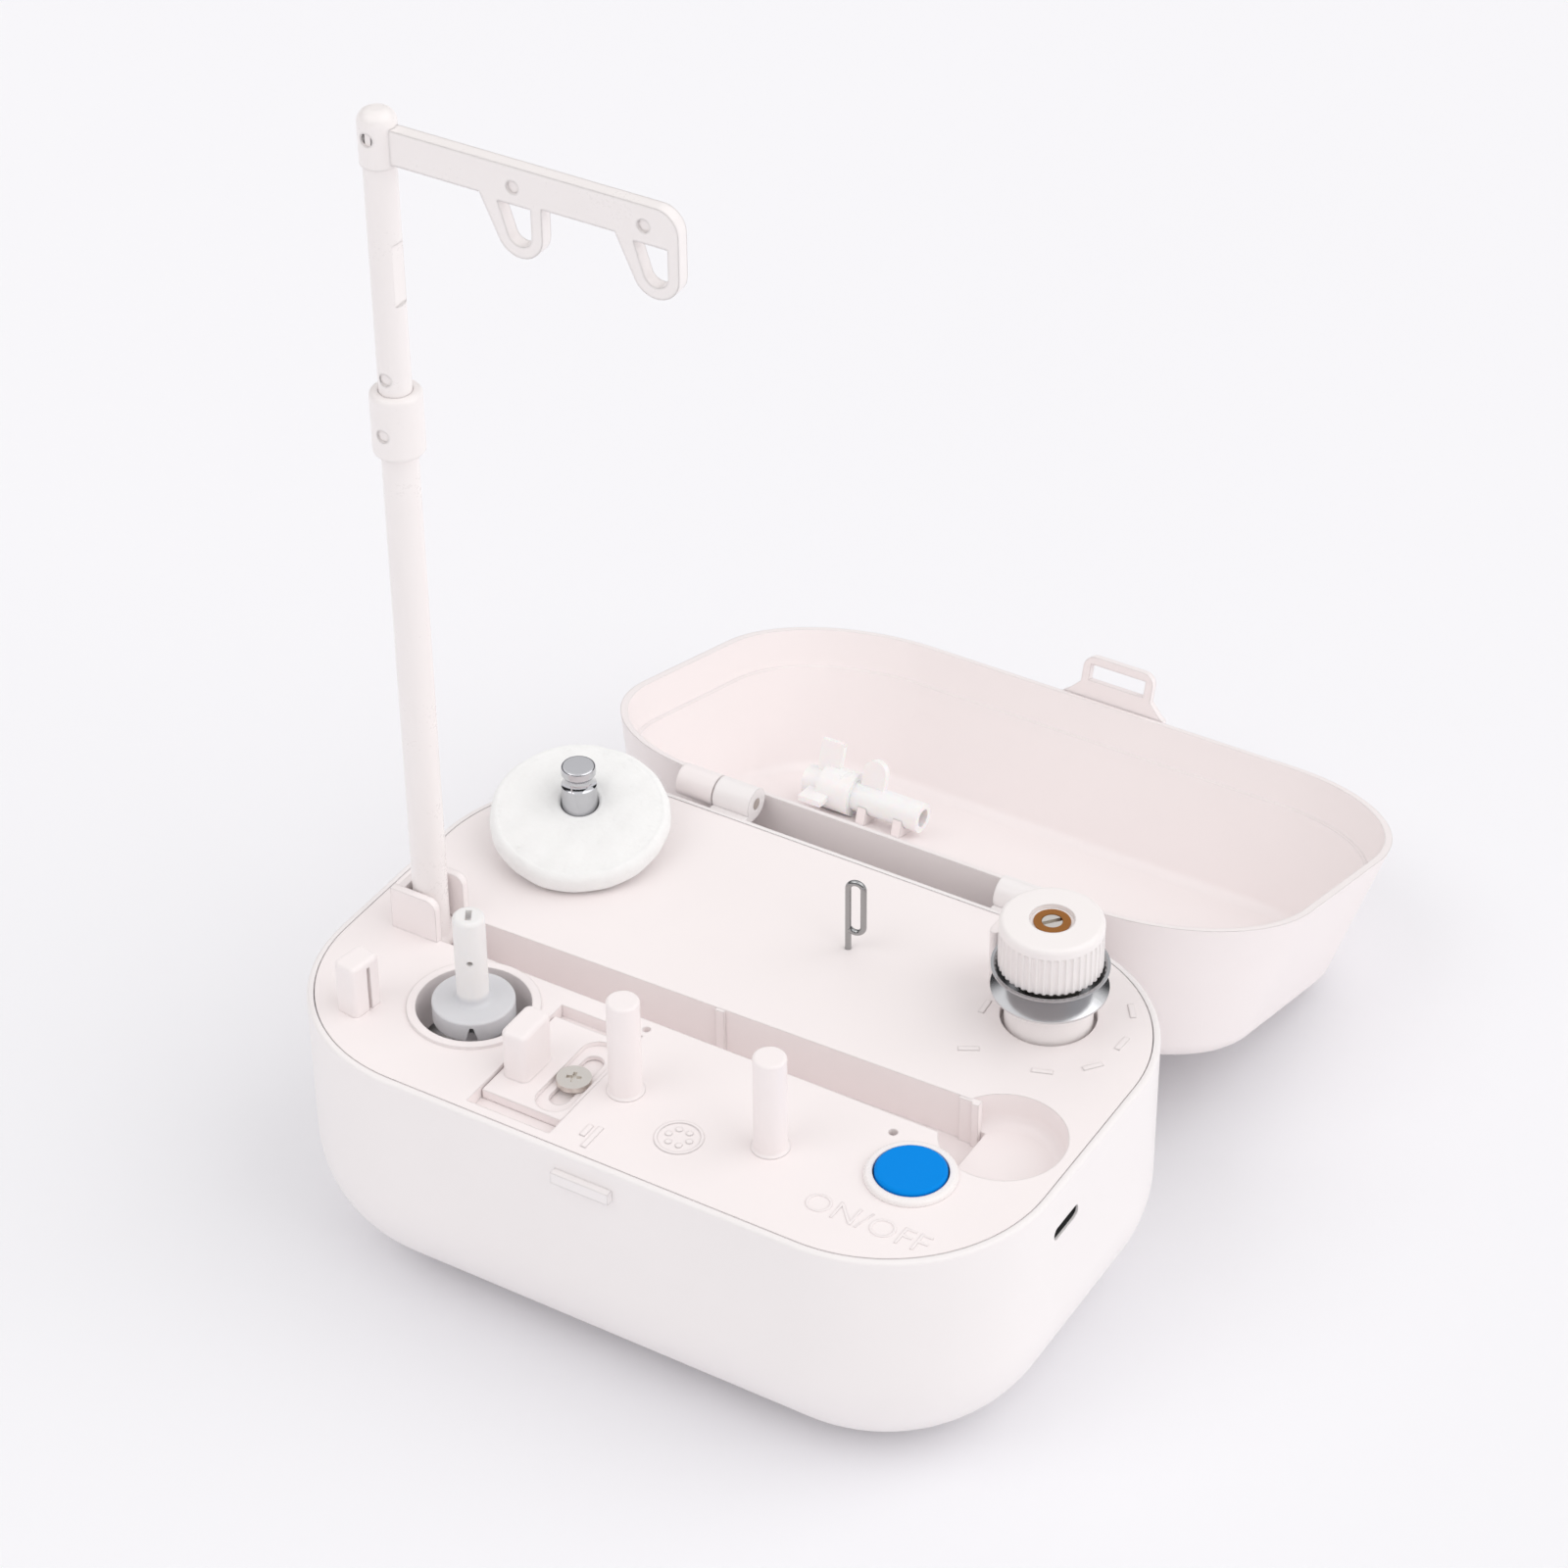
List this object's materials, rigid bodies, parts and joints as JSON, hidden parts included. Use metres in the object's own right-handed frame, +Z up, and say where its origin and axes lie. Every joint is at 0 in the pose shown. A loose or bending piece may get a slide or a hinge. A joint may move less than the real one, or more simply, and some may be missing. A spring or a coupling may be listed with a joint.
{
  "type": "electric bobbin winder",
  "caption": "Compact electric bobbin winder: rounded case with hinged lid, folding thread mast with guide arm, driven bobbin spindle, disc tensioner and spool pin with felt.",
  "frame": {"origin": "centre of the case's underside, on the table", "axes": "+X along the case towards the charging socket, +Y towards the lid's hinge, +Z up"},
  "size_m": [0.141, 0.1954, 0.2101],
  "materials": {
    "shell": "satin",
    "lid": "satin",
    "deck": "satin",
    "mast": "semi-gloss",
    "nylon": "semi-gloss",
    "clear": "translucent",
    "steel": "brushed",
    "chrome": "polished",
    "brass": "satin",
    "rubber": "matte",
    "felt": "matte",
    "blue": "gloss",
    "board": "matte",
    "dark": "matte"
  },
  "bodies": {
    "case": {"base_shell": "shell", "rubber_pad": "rubber", "case_screws": "steel", "hinge_pins": "steel", "deck": "deck", "thread_pegs": "deck", "thread_fin": "deck", "cutter_block": "deck", "mast_pivot_pin": "steel", "spindle_bushes": "brass", "drive_belt": "rubber", "motor": "steel", "motor_bracket": "steel", "motor_screws": "steel", "circuit_board": "board", "board_screws": "steel", "usb_socket": "steel", "push_switch": "dark", "power_led": "clear", "button_bezel": "nylon", "stop_screw": "steel", "cutter_blade": "steel", "spool_pin": "chrome", "spool_felt": "felt", "wire_guide": "chrome", "tension_post": "nylon", "tension_stud": "steel", "tension_disc_lower": "chrome", "tension_disc_upper": "chrome", "tension_spring": "steel"},
    "lid": {"lid": "lid", "spool_adapter": "clear"},
    "mast": {"mast_tube": "mast", "mast_collar": "mast"},
    "guide": {"guide_rod": "mast", "guide_arm": "mast"},
    "spindle": {"bobbin_spindle": "nylon", "spindle_shaft": "steel", "spindle_pulley": "nylon"},
    "rotor": {"motor_shaft": "steel", "motor_pulley": "nylon"},
    "button": {"button": "blue"},
    "stop": {"stop_slider": "deck"},
    "knob": {"tension_knob": "nylon", "knob_nut": "brass"}
  },
  "joints": [
    {"name": "lid_hinge", "type": "hinge", "parent": "case", "child": "lid", "pos_m": [0, 0.0502, 0.052], "axis": [1, 0, 0], "range_deg": [0, 138]},
    {"name": "mast_fold", "type": "hinge", "parent": "case", "child": "mast", "pos_m": [-0.0575, -0.0062, 0.0474], "axis": [0, 1, 0], "range_deg": [0, 82]},
    {"name": "guide_swivel", "type": "hinge", "parent": "mast", "child": "guide", "pos_m": [-0.0575, -0.0062, 0.16], "axis": [0, 0, 1], "continuous": true},
    {"name": "spindle_spin", "type": "hinge", "parent": "case", "child": "spindle", "pos_m": [-0.0378, -0.0223, 0.0374], "axis": [0, 0, 1], "continuous": true},
    {"name": "motor_spin", "type": "hinge", "parent": "case", "child": "rotor", "pos_m": [0.003, -0.0223, 0.0374], "axis": [0, 0, 1], "continuous": true},
    {"name": "button_press", "type": "slide", "parent": "case", "child": "button", "axis": [0, 0, -1], "range_m": [0, 0.001], "stiffness_N_per_m": 1500},
    {"name": "tension_turn", "type": "hinge", "parent": "case", "child": "knob", "pos_m": [0.048, 0.0254, 0.068], "axis": [0, 0, 1], "range_deg": [-135, 135]},
    {"name": "stop_slide", "type": "slide", "parent": "case", "child": "stop", "axis": [0, 1, 0], "range_m": [-0.0022, 0.0022]}
  ],
  "couplings": [
    {"joint": "motor_spin", "follows": "spindle_spin", "ratio": 2.6667}
  ]
}
